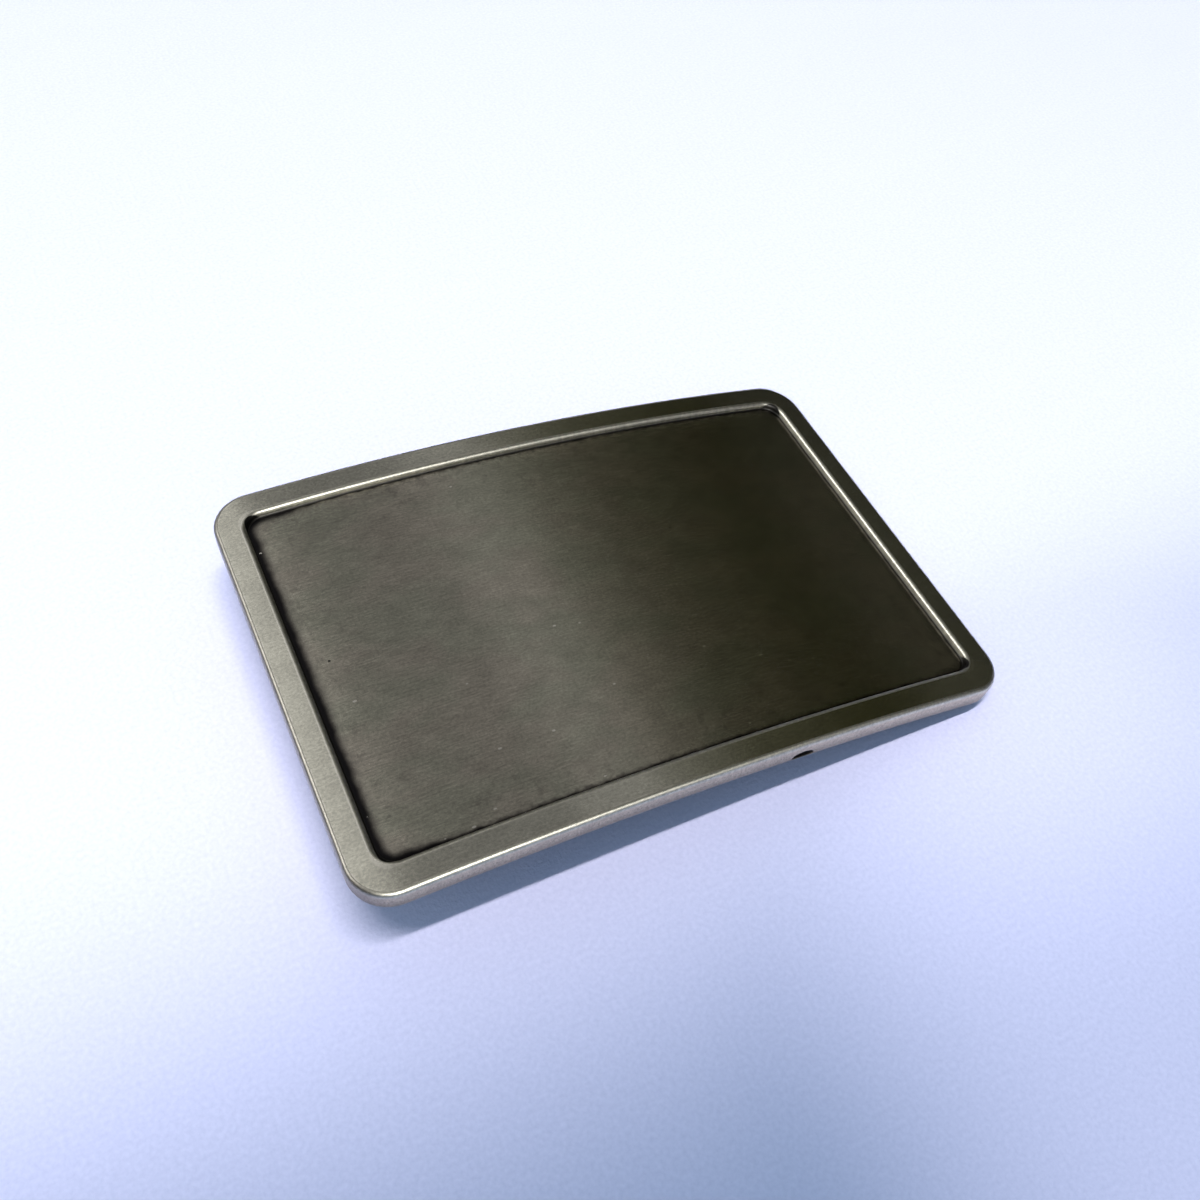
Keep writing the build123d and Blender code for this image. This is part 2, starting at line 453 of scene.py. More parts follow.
def build_lug(name, inner_y, outer_y):
    """An ear with a round end and a spread foot, pierced for the wire, with rounded rims."""
    hinge = on_face(HINGE_ALONG, 0, BACK_DEPTH + HINGE_DROP) / MM
    foot_left = on_face(HINGE_ALONG - LUG_FOOT_HALF, 0, BACK_DEPTH) / MM - hinge
    foot_right = on_face(HINGE_ALONG + LUG_FOOT_HALF, 0, BACK_DEPTH) / MM - hinge
    foot_share = 0.3  # the foot's line moves in by this share of the rim's inset

    def reach(angle, inset):
        """Distance from the hinge axis to the lug's outline in a direction, less an inset."""
        x, z = cos(angle), sin(angle)
        nearest = 1e9
        foot_line = foot_right - foot_left
        lines = [(foot_left, foot_line.normalized())]
        for foot, turn in ((foot_left, 1), (foot_right, -1)):
            length = (foot.x**2 + foot.z**2) ** 0.5
            swing = turn * np.arccos(LUG_RADIUS / length)
            tangent_angle = atan2(foot.z, foot.x) + swing
            touch = Vector((cos(tangent_angle), 0, sin(tangent_angle))) * LUG_RADIUS
            lines.append((foot, (touch - foot).normalized()))
        for n, (start, way) in enumerate(lines):
            normal = Vector((way.z, 0, -way.x))
            offset = start.dot(normal)
            if offset < 0:
                normal, offset = -normal, -offset
            facing = x * normal.x + z * normal.z
            if facing > 1e-6:
                nearest = min(nearest, (offset - (inset if n else inset * foot_share)) / facing)
        foot_low = min(atan2(foot_left.z, foot_left.x), atan2(foot_right.z, foot_right.x))
        foot_high = max(atan2(foot_left.z, foot_left.x), atan2(foot_right.z, foot_right.x))
        tangent_low = foot_low - np.arccos(LUG_RADIUS / foot_right.length)
        tangent_high = foot_high + np.arccos(LUG_RADIUS / foot_left.length)
        if tangent_low <= angle <= tangent_high:
            return nearest
        return LUG_RADIUS - inset

    angles = [-pi / 2 + 2 * pi * k / LUG_STEPS for k in range(LUG_STEPS)]
    flat_inset = LUG_EDGE * 1.6  # a ring on the flat, just inside the rounded rim

    def ring_at(y, inset=0.0, hole=None):
        """Ring at a place across: the outline less an inset, or the pin hole."""
        points = []
        for a in angles:
            r = hole if hole is not None else reach(a, inset)
            points.append((hinge + Vector((cos(a) * r, y, sin(a) * r))) * MM)
        return points

    rise = 1 if outer_y > inner_y else -1
    profile = []
    for k in range(5):
        a = pi / 2 * k / 4
        profile.append((inner_y + rise * LUG_EDGE * (1 - sin(a)), LUG_EDGE * (1 - cos(a))))
    rings = [ring_at(outer_y - (y - inner_y), inset) for y, inset in profile]
    rings += [ring_at(outer_y, flat_inset), ring_at(outer_y, hole=PIN_HOLE + PIN_CHAMFER)]
    rings += [ring_at(outer_y - rise * PIN_CHAMFER, hole=PIN_HOLE)]
    rings += [ring_at(inner_y + rise * PIN_CHAMFER, hole=PIN_HOLE)]
    rings += [ring_at(inner_y, hole=PIN_HOLE + PIN_CHAMFER), ring_at(inner_y, flat_inset)]
    rings += [ring_at(y, inset) for y, inset in profile[::-1]]
    if rise < 0:
        rings = rings[::-1]
    return lofted(name, rings, cap_ends=False)


def build_bail():
    """The wire loop, as rings swept along its two turned-in ends, its legs and its bar."""
    hinge = on_face(HINGE_ALONG, 0, BACK_DEPTH + HINGE_DROP) / MM
    fall = (hinge.z - BAR_HEIGHT) / LEG_LENGTH
    leg = Vector((-((1 - fall**2) ** 0.5), 0, -fall))
    across = Vector((0, 1, 0))
    upward = across.cross(leg)
    stations = []

    def at(along_leg, side):
        """Point in the loop's plane: along a leg from the hinge axis, and to a side."""
        return hinge + leg * along_leg + across * side

    def straight(start, end, steps):
        """Stations along a straight stretch, its end left out."""
        way = (end - start).normalized()
        stations.extend((start + (end - start) * k / steps, way) for k in range(steps))

    def bend(centre, radius, start_way, end_way, steps):
        """Stations round a quarter bend from one way to another, its end left out."""
        for k in range(steps):
            a = pi / 2 * k / steps
            spoke = start_way * sin(a) - end_way * cos(a)
            way = start_way * cos(a) + end_way * sin(a)
            stations.append((centre + spoke * radius, way))

    far = LEG_LENGTH - BAR_BEND
    near_side = BAIL_HALF_WIDTH - HINGE_BEND
    far_side = BAIL_HALF_WIDTH - BAR_BEND
    wire_end = WIRE_END_Y + WIRE_END_ROUND
    straight(at(0, -wire_end), at(0, -near_side), 8)
    bend(at(HINGE_BEND, -near_side), HINGE_BEND, -across, leg, 14)
    straight(at(HINGE_BEND, -BAIL_HALF_WIDTH), at(far, -BAIL_HALF_WIDTH), 12)
    bend(at(far, -far_side), BAR_BEND, leg, across, 18)
    straight(at(LEG_LENGTH, -far_side), at(LEG_LENGTH, far_side), 40)
    bend(at(far, far_side), BAR_BEND, across, -leg, 18)
    straight(at(far, BAIL_HALF_WIDTH), at(HINGE_BEND, BAIL_HALF_WIDTH), 12)
    bend(at(HINGE_BEND, near_side), HINGE_BEND, -leg, -across, 14)
    straight(at(0, near_side), at(0, wire_end), 8)
    stations.append((at(0, wire_end), -across))

    def wire_ring(point, way, radius):
        return circle(point, way.cross(upward), upward, radius, WIRE_STEPS)

    rings = []
    for point, way in stations:
        drawn = WIRE_WEAR + WIRE_WEAR * noise.noise(point * 0.4)
        rings.append(wire_ring(point, way, WIRE_RADIUS - drawn))
    first_point, first_way = stations[0]
    last_point, last_way = stations[-1]
    for k in range(1, 6):
        a = pi / 2 * k / 5
        radius = WIRE_RADIUS - WIRE_WEAR - WIRE_END_ROUND * (1 - cos(a))
        reach = WIRE_END_ROUND * sin(a)
        rings.insert(0, wire_ring(first_point - first_way * reach, first_way, radius))
        rings.append(wire_ring(last_point + last_way * reach, last_way, radius))
    return lofted("wire_bail_detailed", rings)


def hook_frame():
    """Where the hook's pad meets the hollow back, and the way the leaning post points."""
    root = on_face(HOOK_ALONG, 0, BACK_DEPTH) / MM
    down = (on_face(HOOK_ALONG, 0, BACK_DEPTH + 1) / MM - root).normalized()
    along = Vector((-down.z, 0, down.x))
    return root, (down * cos(HOOK_LEAN) + along * sin(HOOK_LEAN)).normalized()


def build_hook_pad():
    """The round pad, with an eased rim and faint turning marks on its face."""
    root, axis = hook_frame()
    low = PAD_THICKNESS
    rim = [(PAD_EDGE + 0.12, 0.0), (PAD_EDGE, 0.03), (PAD_EDGE - 0.1, 0.1)]
    profile = [(-PAD_BURIED, PAD_RADIUS)]
    profile += [(low - further, PAD_RADIUS - nearer) for further, nearer in rim]
    profile += [(low - nearer, PAD_RADIUS - further) for further, nearer in reversed(rim)]
    turned = [PAD_RADIUS - PAD_EDGE - 0.5 - 0.25 * k for k in range(10)]
    profile += [(low - TURNING_MARK * (k % 2), r) for k, r in enumerate(turned)]
    profile += [(low, SHANK_RADIUS + 0.05), (low - 0.1, SHANK_RADIUS)]
    return revolved("hook_pad_detailed", root, axis, profile)


def build_hook_post():
    """The post: shank, neck, a round shoulder, a faintly ridged shaft and a round tip."""
    root, axis = hook_frame()
    neck_end = PAD_THICKNESS + NECK_LENGTH
    tip = (root.z - HOOK_RADIUS) / -axis.z
    step, shoulder = 0.02, 0.12
    profile = [(PAD_THICKNESS - POST_BURIED, SHANK_RADIUS), (PAD_THICKNESS - step, SHANK_RADIUS)]
    profile += [(PAD_THICKNESS, NECK_RADIUS), (neck_end - step, NECK_RADIUS)]
    shaft_start = neck_end + shoulder
    profile += quarter((neck_end, HOOK_RADIUS - shoulder), (shaft_start, HOOK_RADIUS), 3, False)
    shaft = between(shaft_start, tip, 16)
    profile += [(s, HOOK_RADIUS - POST_RIDGE * (k % 2)) for k, s in enumerate(shaft)]
    tip_steps = 15
    for k in range(tip_steps):
        a = pi / 2 * k / tip_steps
        profile.append((tip + HOOK_RADIUS * sin(a), HOOK_RADIUS * cos(a)))
    return revolved("hook_post_detailed", root, axis, profile)


def build_braze(name, outline, seed):
    """An uneven hollow fillet of solder round a foot; outline lists (u, v, out_u, out_v)."""
    sections = []
    for u, v, out_u, out_v in outline:
        lumps = noise.noise(Vector((u * 0.5, v * 0.5, seed)))
        fine = noise.noise(Vector((u * 1.9, v * 1.9, seed + 5)))
        width = BRAZE_WIDTH + 0.30 * lumps + 0.08 * fine
        height = BRAZE_HEIGHT + 0.22 * lumps - 0.06 * fine
        section = []
        for k in range(7):
            a = pi / 2 * k / 6
            out = (width + BRAZE_UNDER) * (1 - sin(a)) - BRAZE_UNDER
            deep = (height + BRAZE_SUNK) * (1 - cos(a)) - BRAZE_SUNK
            section.append(on_face(u + out_u * out, v + out_v * out, BACK_DEPTH + deep))
        under_u, under_v = u - out_u * BRAZE_UNDER, v - out_v * BRAZE_UNDER
        section.append(on_face(under_u, under_v, BACK_DEPTH - BRAZE_SUNK))
        sections.append(section)
    return lofted(name, sections, cap_ends=False)


def pad_outline():
    """Round the foot of the hook's pad."""
    angles = [2 * pi * k / PAD_BRAZE_STEPS for k in range(PAD_BRAZE_STEPS)]
    return [
        (HOOK_ALONG + PAD_RADIUS * cos(a), PAD_RADIUS * sin(a), cos(a), sin(a)) for a in angles
    ]


def foot_outline(side):
    """Round the foot of a lug; side is -1 for the front one and +1 for the back one."""
    half_u = LUG_FOOT_HALF - 0.1
    half_v = LUG_THICKNESS / 2 - 0.05
    middle = side * (LUG_INNER_Y + LUG_THICKNESS / 2)
    points = []
    steps = 16
    corners = [(1, -1), (1, 1), (-1, 1), (-1, -1)]
    for n, (corner_u, corner_v) in enumerate(corners):
        next_u, next_v = corners[(n + 1) % 4]
        for k in range(6):
            a = radians(90 * (n - 1) + 90 * k / 5)
            points.append(
                (HINGE_ALONG + corner_u * half_u, middle + corner_v * half_v, cos(a), sin(a))
            )
        a = radians(90 * n)
        for k in range(1, steps):
            share = k / steps
            u = HINGE_ALONG + half_u * (corner_u + (next_u - corner_u) * share)
            v = middle + half_v * (corner_v + (next_v - corner_v) * share)
            points.append((u, v, cos(a), sin(a)))
    return points


# ---------------------------------------------------------------- materials


class Metal:
    """A metal material and short ways to wire up its nodes."""

    def __init__(self, name, roughness, anisotropy=0.0):
        self.material = bpy.data.materials.new(name)
        self.material.use_nodes = True
        self.tree = self.material.node_tree
        self.inputs = self.tree.nodes["Principled BSDF"].inputs
        self.inputs["Metallic"].default_value = 1.0
        self.inputs["Roughness"].default_value = roughness
        if anisotropy:
            self.inputs["Anisotropic"].default_value = anisotropy
            self.inputs["Anisotropic Rotation"].default_value = 0.25
            tangent = self.node("ShaderNodeTangent", direction_type="UV_MAP", uv_map="face")
            self.feed(tangent.outputs[0], self.inputs["Tangent"])

    def node(self, kind, **settings):
        """A new shader node with some of its settings filled in."""
        made = self.tree.nodes.new(kind)
        for key, value in settings.items():
            setattr(made, key, value)
        return made

    def feed(self, value, socket):
        """Links another node's output to a socket, or sets the socket to a plain value."""
        if isinstance(value, bpy.types.NodeSocket):
            self.tree.links.new(value, socket)
        else:
            socket.default_value = value

    def math(self, operation, first, second=0.0):
        made = self.node("ShaderNodeMath", operation=operation)
        self.feed(first, made.inputs[0])
        self.feed(second, made.inputs[1])
        return made.outputs[0]

    def vector(self, operation, first, second=(0.0, 0.0, 0.0)):
        made = self.node("ShaderNodeVectorMath", operation=operation)
        self.feed(first, made.inputs[0])
        self.feed(second, made.inputs[1])
        return made.outputs["Value" if operation == "LENGTH" else "Vector"]

    def uv(self, scale=(1.0, 1.0, 1.0), shift=(0.0, 0.0, 0.0), layer="face"):
        """The surface's own coordinates in mm, scaled and then shifted."""
        source = self.node("ShaderNodeUVMap", uv_map=layer).outputs[0]
        return self.vector("ADD", self.vector("MULTIPLY", source, scale), shift)

    def noise(self, vector, detail=2.0, roughness=0.5):
        made = self.node("ShaderNodeTexNoise")
        self.feed(vector, made.inputs["Vector"])
        made.inputs["Scale"].default_value = 1.0
        made.inputs["Detail"].default_value = detail
        made.inputs["Roughness"].default_value = roughness
        return made.outputs["Fac"]

    def cells(self, vector):
        """Distance to the nearest of scattered points, and a random number for that point."""
        made = self.node("ShaderNodeTexVoronoi")
        self.feed(vector, made.inputs["Vector"])
        made.inputs["Scale"].default_value = 1.0
        pick = self.node("ShaderNodeSeparateColor")
        self.feed(made.outputs["Color"], pick.inputs[0])
        return made.outputs["Distance"], pick.outputs[0]

    def remap(self, value, low, high, new_low, new_high):
        """Eases a value from one range into another, and holds it at the ends."""
        made = self.node("ShaderNodeMapRange", interpolation_type="SMOOTHSTEP")
        for number, socket in zip((value, low, high, new_low, new_high), made.inputs):
            self.feed(number, socket)
        return made.outputs["Result"]

    def mix(self, factor, first, second):
        made = self.node("ShaderNodeMix", data_type="RGBA")
        self.feed(factor, made.inputs["Factor"])
        self.feed(first, made.inputs[6])
        self.feed(second, made.inputs[7])
        return made.outputs[2]

    def shaded(self, color, shade):
        """A colour made lighter or darker by a factor."""
        made = self.node("ShaderNodeVectorMath", operation="SCALE")
        self.feed(color[:3] if isinstance(color, tuple) else color, made.inputs[0])
        self.feed(shade, made.inputs["Scale"])
        return made.outputs[0]

    def inside(self, half_u, half_v, corner):
        """How far in a point of the face lies from a rounded rectangle's outline, in mm."""
        folded = self.vector("ABSOLUTE", self.uv())
        past = self.vector("SUBTRACT", folded, (half_u - corner, half_v - corner, 0.0))
        round_part = self.vector("LENGTH", self.vector("MAXIMUM", past))
        axes = self.node("ShaderNodeSeparateXYZ")
        self.feed(past, axes.inputs[0])
        flat_part = self.math("MINIMUM", self.math("MAXIMUM", axes.outputs[0], axes.outputs[1]))
        return self.math("SUBTRACT", corner, self.math("ADD", round_part, flat_part))

    def along(self):
        """Place along the plate from its middle, in mm."""
        axes = self.node("ShaderNodeSeparateXYZ")
        self.feed(self.uv(), axes.inputs[0])
        return axes.outputs[0]

    def bump(self, height, depth):
        """Fine relief from a height; depth is in mm."""
        made = self.node("ShaderNodeBump")
        made.inputs["Strength"].default_value = 1.0
        made.inputs["Distance"].default_value = depth * MM
        self.feed(height, made.inputs["Height"])
        self.feed(made.outputs[0], self.inputs["Normal"])


# ---- base colours, linear ----
NICKEL = (0.56, 0.545, 0.465, 1)
NICKEL_OLIVE = (0.438, 0.430, 0.350, 1)
NICKEL_BROWN = (0.485, 0.446, 0.375, 1)
SIDE_NICKEL = (0.51, 0.44, 0.345, 1)
# near black: patina in the recess and the pits, and also painted shade in the gate nick and in the
# groove at the plate's ends
PATINA_AND_SHADE = (0.014, 0.013, 0.014, 1)
# dark brown: stains and dirt, and also painted shade at the side's left end and in the groove at
# the panel's ends; it darkens the side towards its bottom too
SMUDGE_AND_SHADE = (0.15, 0.135, 0.12, 1)
# pale: bright flecks, and rubbed wear with a painted highlight along both edges of the border
BRIGHT_WEAR_AND_HIGHLIGHT = (0.86, 0.82, 0.74, 1)
BACK_PALE = (0.30, 0.285, 0.25, 1)
BACK_DARK = (0.13, 0.12, 0.11, 1)
WIRE_STEEL = (0.60, 0.585, 0.54, 1)
TURNED_STEEL = (0.56, 0.54, 0.50, 1)
TUMBLED_STEEL = (0.46, 0.44, 0.40, 1)
BRAZE_METAL = (0.52, 0.47, 0.36, 1)


def panel_material():
    """Brushed nickel with streaks and mottle, dark patina along the walls, pits and flecks."""
    metal = Metal("brushed_panel", 0.24, 0.8)
    depth_in = metal.inside(
        FACE_LENGTH / 2 - BORDER - RECESS_EDGE,
        FACE_WIDTH / 2 - BORDER - RECESS_EDGE,
        RECESS_CORNER - RECESS_EDGE,
    )
    streaks = metal.noise(metal.uv((0.35, 5.0, 1.0)), 4.0, 0.65)
    mottle = metal.noise(metal.uv((0.22, 0.3, 1.0), (7.0, 2.0, 0.0)), 4.0, 0.6)
    hue = metal.noise(metal.uv((0.07, 0.12, 1.0), (3.0, 1.0, 0.0)), 3.0, 0.55)
    grain = metal.noise(metal.uv((2.4, 3.4, 1.0)), 3.0, 0.7)
    color = metal.mix(metal.remap(hue, 0.38, 0.62, 0.0, 1.0), NICKEL_OLIVE, NICKEL_BROWN)
    shade = metal.remap(streaks, 0.25, 0.75, 0.84, 1.16)
    shade = metal.math("MULTIPLY", shade, metal.remap(mottle, 0.3, 0.7, 0.91, 1.08))
    shade = metal.math("MULTIPLY", shade, metal.remap(grain, 0.3, 0.7, 0.85, 1.15))
    color = metal.shaded(color, shade)

    # the patina's ragged fringe and even line; both widen towards the plate's ends, most at the
    # left, as painted shade in the groove over the patina
    edge_noise = metal.noise(metal.uv((0.9, 0.9, 1.0), (4.0, 4.0, 0.0)), 4.0, 0.65)
    ragged = metal.math("ADD", depth_in, metal.remap(edge_noise, 0.25, 0.75, -0.3, 0.3))
    smooth_noise = metal.noise(metal.uv((0.35, 0.35, 1.0), (8.0, 1.0, 0.0)), 3.0, 0.6)
    uneven = metal.math("ADD", depth_in, metal.remap(smooth_noise, 0.3, 0.7, -0.12, 0.12))
    left = metal.remap(metal.along(), -41.0, -30.0, 1.0, 0.0)
    right = metal.remap(metal.along(), 34.0, 41.0, 0.0, 0.7)
    reach = metal.math("ADD", metal.math("MULTIPLY", metal.math("MAXIMUM", left, right), 1.5), 1.0)
    fuzz = metal.remap(ragged, 0.2, reach, 0.92, 0.0)
    smudge_noise = metal.noise(metal.uv((0.45, 0.38, 1.0), (1.0, 8.0, 0.0)), 5.0, 0.7)
    smudges = metal.math(
        "MULTIPLY",
        metal.remap(smudge_noise, 0.52, 0.70, 0.0, 0.42),
        metal.remap(depth_in, 1.0, 11.0, 1.0, 0.12),
    )
    color = metal.mix(smudges, color, SMUDGE_AND_SHADE)
    color = metal.mix(fuzz, color, SMUDGE_AND_SHADE)
    line_start = metal.math("ADD", metal.math("MULTIPLY", left, 0.30), 0.20)
    line_end = metal.math("ADD", metal.math("MULTIPLY", left, 1.05), 0.55)
    line = metal.remap(uneven, line_start, line_end, 1.0, 0.0)
    color = metal.mix(line, color, PATINA_AND_SHADE)

    # scattered black pits and bright flecks, of random size
    pit_gap, pit_pick = metal.cells(metal.uv((0.16, 0.16, 1.0)))
    pit_size = metal.remap(pit_pick, 0.45, 1.0, 0.0, 0.028)
    pits = metal.math("LESS_THAN", pit_gap, pit_size)
    color = metal.mix(metal.math("MULTIPLY", pits, 0.85), color, PATINA_AND_SHADE)
    fleck_gap, fleck_pick = metal.cells(metal.uv((0.30, 0.55, 1.0), (5.0, 3.0, 0.0)))
    fleck_size = metal.remap(fleck_pick, 0.62, 1.0, 0.0, 0.08)
    flecks = metal.math("LESS_THAN", fleck_gap, fleck_size)
    color = metal.mix(metal.math("MULTIPLY", flecks, 0.85), color, BRIGHT_WEAR_AND_HIGHLIGHT)
    metal.feed(color, metal.inputs["Base Color"])
    metal.feed(metal.remap(streaks, 0.3, 0.7, 0.22, 0.26), metal.inputs["Roughness"])
    metal.bump(streaks, 0.002)
    return metal.material


def border_material():
    """Satin nickel with fine grain, lighter along both of its edges from rubbed wear and a painted
    highlight.
    """
    metal = Metal("satin_border", 0.20, 0.7)
    streaks = metal.noise(metal.uv((0.5, 6.0, 1.0)), 4.0, 0.65)
    grain = metal.noise(metal.uv((2.4, 3.2, 1.0)), 4.0, 0.7)
    patches = metal.noise(metal.uv((0.18, 0.25, 1.0), (2.0, 5.0, 0.0)), 3.0, 0.6)
    shade = metal.remap(streaks, 0.25, 0.75, 0.90, 1.10)
    shade = metal.math("MULTIPLY", shade, metal.remap(grain, 0.28, 0.72, 0.80, 1.20))
    shade = metal.math("MULTIPLY", shade, metal.remap(patches, 0.3, 0.7, 0.93, 1.07))
    color = metal.shaded(NICKEL, shade)
    depth_in = metal.inside(FACE_LENGTH / 2, FACE_WIDTH / 2, CORNER_RADIUS)
    # rubbed wear with a painted highlight along the outer edge
    rub_noise = metal.noise(metal.uv((0.7, 0.7, 1.0)), 3.0, 0.6)
    rub_width = metal.remap(rub_noise, 0.35, 0.65, 0.62, 0.95)
    rub_and_highlight = metal.remap(depth_in, 0.45, rub_width, 0.75, 0.0)
    color = metal.mix(rub_and_highlight, color, BRIGHT_WEAR_AND_HIGHLIGHT)
    # rubbed wear with a painted highlight along the inner edge, at the recess
    inner_rub_and_highlight = metal.remap(depth_in, BORDER - 0.22, BORDER, 0.0, 0.4)
    color = metal.mix(inner_rub_and_highlight, color, BRIGHT_WEAR_AND_HIGHLIGHT)
    metal.feed(color, metal.inputs["Base Color"])
    metal.bump(grain, 0.003)
    return metal.material


def wall_material():
    """The rounded wall of the recess, which goes dark at its foot."""
    metal = Metal("recess_wall", 0.42)
    depth_in = metal.inside(FACE_LENGTH / 2, FACE_WIDTH / 2, CORNER_RADIUS)
    grain = metal.noise(metal.uv((1.5, 1.5, 1.0)), 4.0, 0.65)
    color = metal.shaded(NICKEL, metal.remap(grain, 0.25, 0.75, 0.80, 1.18))
    wall = BORDER + RECESS_EDGE
    dark = metal.remap(depth_in, wall - 0.04, wall + 0.08, 0.0, 0.95)
    color = metal.mix(dark, color, PATINA_AND_SHADE)
    metal.feed(color, metal.inputs["Base Color"])
    return metal.material


def side_material():
    """The plate's side: bright at the top, browner, darker and spotted below; painted shade darkens
    its left end and blacks out the nick.
    """
    metal = Metal("satin_side", 0.42)
    coordinates = metal.node("ShaderNodeTexCoord").outputs["Object"]
    spot_cells = (4200.0, 4200.0, 5000.0)  # to a metre, along, across and up
    mark_cells = (3200.0, 3200.0, 1500.0)
    spots = metal.noise(metal.vector("MULTIPLY", coordinates, spot_cells), 3.0, 0.75)
    marks = metal.noise(metal.vector("MULTIPLY", coordinates, mark_cells), 4.0, 0.7)
    depth = metal.node("ShaderNodeAttribute", attribute_name="depth").outputs["Fac"]
    tone = metal.mix(metal.remap(depth, 0.4, 1.0, 0.0, 1.0), NICKEL, SIDE_NICKEL)
    # darker towards the bottom of the side
    tone = metal.mix(metal.remap(depth, 1.2, 2.8, 0.0, 0.65), tone, SMUDGE_AND_SHADE)
    # painted shade: the side darkens towards the plate's left end
    tone = metal.mix(metal.remap(metal.along(), -44.6, -41.0, 0.65, 0.0), tone, SMUDGE_AND_SHADE)
    color = metal.shaded(tone, metal.remap(marks, 0.25, 0.75, 0.78, 1.22))
    lower = metal.remap(depth, 0.55, 1.7, 0.0, 0.7)
    spotted = metal.math("MULTIPLY", metal.remap(spots, 0.50, 0.62, 0.0, 1.0), lower)
    color = metal.mix(spotted, color, SMUDGE_AND_SHADE)
    # painted shade: the scooped gate nick is painted near black
    hollow = metal.node("ShaderNodeAttribute", attribute_name="hollow").outputs["Fac"]
    nick = metal.remap(hollow, 0.0, 0.35, 0.0, 1.0)
    color = metal.mix(nick, color, PATINA_AND_SHADE)
    metal.feed(color, metal.inputs["Base Color"])
    metal.bump(marks, 0.01)
    return metal.material


def back_material():
    """The rough cast back, in pale and dark patches."""
    metal = Metal("cast_back", 0.48)
    grain = metal.noise(metal.uv((2.2, 2.2, 1.0)), 5.0, 0.7)
    patches = metal.noise(metal.uv((0.15, 0.15, 1.0), (6.0, 2.0, 0.0)), 4.0, 0.6)
    color = metal.mix(metal.remap(patches, 0.35, 0.65, 0.15, 0.85), BACK_PALE, BACK_DARK)
    color = metal.shaded(color, metal.remap(grain, 0.3, 0.7, 0.8, 1.2))
    metal.feed(color, metal.inputs["Base Color"])
    metal.bump(grain, 0.06)
    return metal.material


def hardware_material(name, tone, roughness, stretch):
    """Plated steel with marks stretched along or round the piece, and stains."""
    metal = Metal(name, roughness)
    drawn = metal.noise(metal.uv(stretch, layer="skin"), 4.0, 0.65)
    stain = metal.noise(metal.uv((0.35, 0.35, 1.0), (3.0, 9.0, 0.0), "skin"), 4.0, 0.65)
    color = metal.shaded(tone, metal.remap(drawn, 0.25, 0.75, 0.85, 1.15))
    color = metal.mix(metal.remap(stain, 0.5, 0.72, 0.0, 0.6), color, SMUDGE_AND_SHADE)
    metal.feed(color, metal.inputs["Base Color"])
    metal.feed(metal.remap(stain, 0.4, 0.7, roughness, roughness + 0.18), metal.inputs["Roughness"])
    metal.bump(drawn, 0.01)
    return metal.material


# ---------------------------------------------------------------- put together

plate_materials = [
    panel_material(),
    wall_material(),
    border_material(),
    side_material(),
    back_material(),
]
place(build_plate(), "buckle", plate_materials, "face_plate")

wire_finish = hardware_material("plated_wire", WIRE_STEEL, 0.24, (0.3, 6.0, 1.0))
turned_finish = hardware_material("turned_steel", TURNED_STEEL, 0.28, (6.0, 0.3, 1.0))
tumbled_finish = hardware_material("tumbled_steel", TUMBLED_STEEL, 0.36, (2.0, 2.0, 1.0))
braze_finish = hardware_material("braze", BRAZE_METAL, 0.42, (1.6, 1.6, 1.0))

for end, side in (("front", -1), ("back", 1)):
    lug_name = "hinge_lug_" + end
    inner, outer = side * LUG_INNER_Y, side * (LUG_INNER_Y + LUG_THICKNESS)
    lug = build_lug(lug_name + "_detailed", inner, outer)
    place(lug, "buckle", [tumbled_finish], lug_name)
place(build_bail(), "bail", [wire_finish], "wire_bail")
place(build_hook_pad(), "buckle", [tumbled_finish], "hook_pad")
place(build_hook_post(), "buckle", [turned_finish], "hook_post")
braze_front = build_braze("braze_lug_front", foot_outline(-1), 3.0)
braze_back = build_braze("braze_lug_back", foot_outline(1), 7.0)
braze_pad = build_braze("braze_hook_pad", pad_outline(), 11.0)
for braze in (braze_front, braze_back, braze_pad):
    place(braze, "buckle", [braze_finish])

# ---------------------------------------------------------------- stage, light, camera

FLOOR_SIZE = 6.0  # m
PEBBLES_A_METRE = 1900.0
PEBBLE_DEPTH = 0.1  # mm
TABLE_LOW = (0.74, 0.765, 0.81, 1)
TABLE_HIGH = (0.94, 0.955, 0.99, 1)


def build_floor():
    """A pale table with a fine pebbled grain."""
    bpy.ops.mesh.primitive_plane_add(size=FLOOR_SIZE, location=(0, 0, 0))
    floor = bpy.context.object
    floor.name = "floor"
    material = bpy.data.materials.new("pale_table")
    material.use_nodes = True
    tree = material.node_tree
    shader = tree.nodes["Principled BSDF"]
    shader.inputs["Roughness"].default_value = 0.55
    shader.inputs["Specular IOR Level"].default_value = 0.25
    coordinates = tree.nodes.new("ShaderNodeTexCoord")
    grain = tree.nodes.new("ShaderNodeTexNoise")
    grain.inputs["Scale"].default_value = PEBBLES_A_METRE
    grain.inputs["Detail"].default_value = 3.0
    bump = tree.nodes.new("ShaderNodeBump")
    bump.inputs["Strength"].default_value = 1.0
    bump.inputs["Distance"].default_value = PEBBLE_DEPTH * MM
    tree.links.new(coordinates.outputs["Object"], grain.inputs["Vector"])
    tree.links.new(grain.outputs["Fac"], bump.inputs["Height"])
    tree.links.new(bump.outputs[0], shader.inputs["Normal"])
    pebbles = tree.nodes.new("ShaderNodeMixRGB")
    pebbles.inputs["Color1"].default_value = TABLE_LOW
    pebbles.inputs["Color2"].default_value = TABLE_HIGH
    tree.links.new(grain.outputs["Fac"], pebbles.inputs["Fac"])
    tree.links.new(pebbles.outputs[0], shader.inputs["Base Color"])
    floor.data.materials.append(material)


build_floor()

